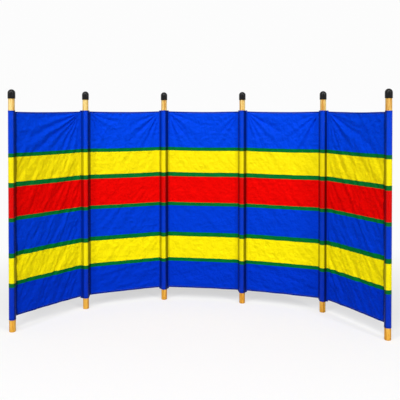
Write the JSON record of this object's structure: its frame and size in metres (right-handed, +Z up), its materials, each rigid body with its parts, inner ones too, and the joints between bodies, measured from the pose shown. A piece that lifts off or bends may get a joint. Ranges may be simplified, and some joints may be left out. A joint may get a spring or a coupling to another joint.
{
  "type": "beach windbreak",
  "caption": "Folding beach windbreak: striped cloth bays with hemmed edges between capped wooden poles in sewn pockets, standing in an arc and folding at the inner poles.",
  "frame": {"origin": "on the ground, at the centre of the whole windbreak's box", "axes": "+Z up, +X along the middle bay, -Y towards the hollow side of the arc"},
  "size_m": [1.859, 0.6416, 1.2],
  "materials": {
    "pole_wood": "sanded pine, unpainted",
    "cap_rubber": "glossy moulded black",
    "cloth": "thin woven polyester with wide blue, yellow and red stripes and thin green ones"
  },
  "bodies": {
    "bay_3": {"panel_3": "cloth", "pole_3": "pole_wood", "cap_3": "cap_rubber", "pocket_3": "cloth", "pole_4": "pole_wood", "cap_4": "cap_rubber", "pocket_4": "cloth"},
    "bay_2": {"panel_2": "cloth", "pole_2": "pole_wood", "cap_2": "cap_rubber", "pocket_2": "cloth"},
    "bay_1": {"panel_1": "cloth", "pole_1": "pole_wood", "cap_1": "cap_rubber", "pocket_1": "cloth"},
    "bay_4": {"panel_4": "cloth", "pole_5": "pole_wood", "cap_5": "cap_rubber", "pocket_5": "cloth"},
    "bay_5": {"panel_5": "cloth", "pole_6": "pole_wood", "cap_6": "cap_rubber", "pocket_6": "cloth"}
  },
  "joints": [
    {"name": "fold_at_pole_3", "type": "hinge", "parent": "bay_3", "child": "bay_2", "pos_m": [-0.26932, 0.29611, 0], "axis": [0, 0, 1], "range_deg": [-89, 31]},
    {"name": "fold_at_pole_2", "type": "hinge", "parent": "bay_2", "child": "bay_1", "pos_m": [-0.66465, 0.07697, 0], "axis": [0, 0, 1], "range_deg": [-88, 32]},
    {"name": "fold_at_pole_4", "type": "hinge", "parent": "bay_3", "child": "bay_4", "pos_m": [0.18268, 0.29611, 0], "axis": [0, 0, -1], "range_deg": [-71, 49]},
    {"name": "fold_at_pole_5", "type": "hinge", "parent": "bay_4", "child": "bay_5", "pos_m": [0.62637, 0.20986, 0], "axis": [0, 0, -1], "range_deg": [-100, 20]}
  ]
}
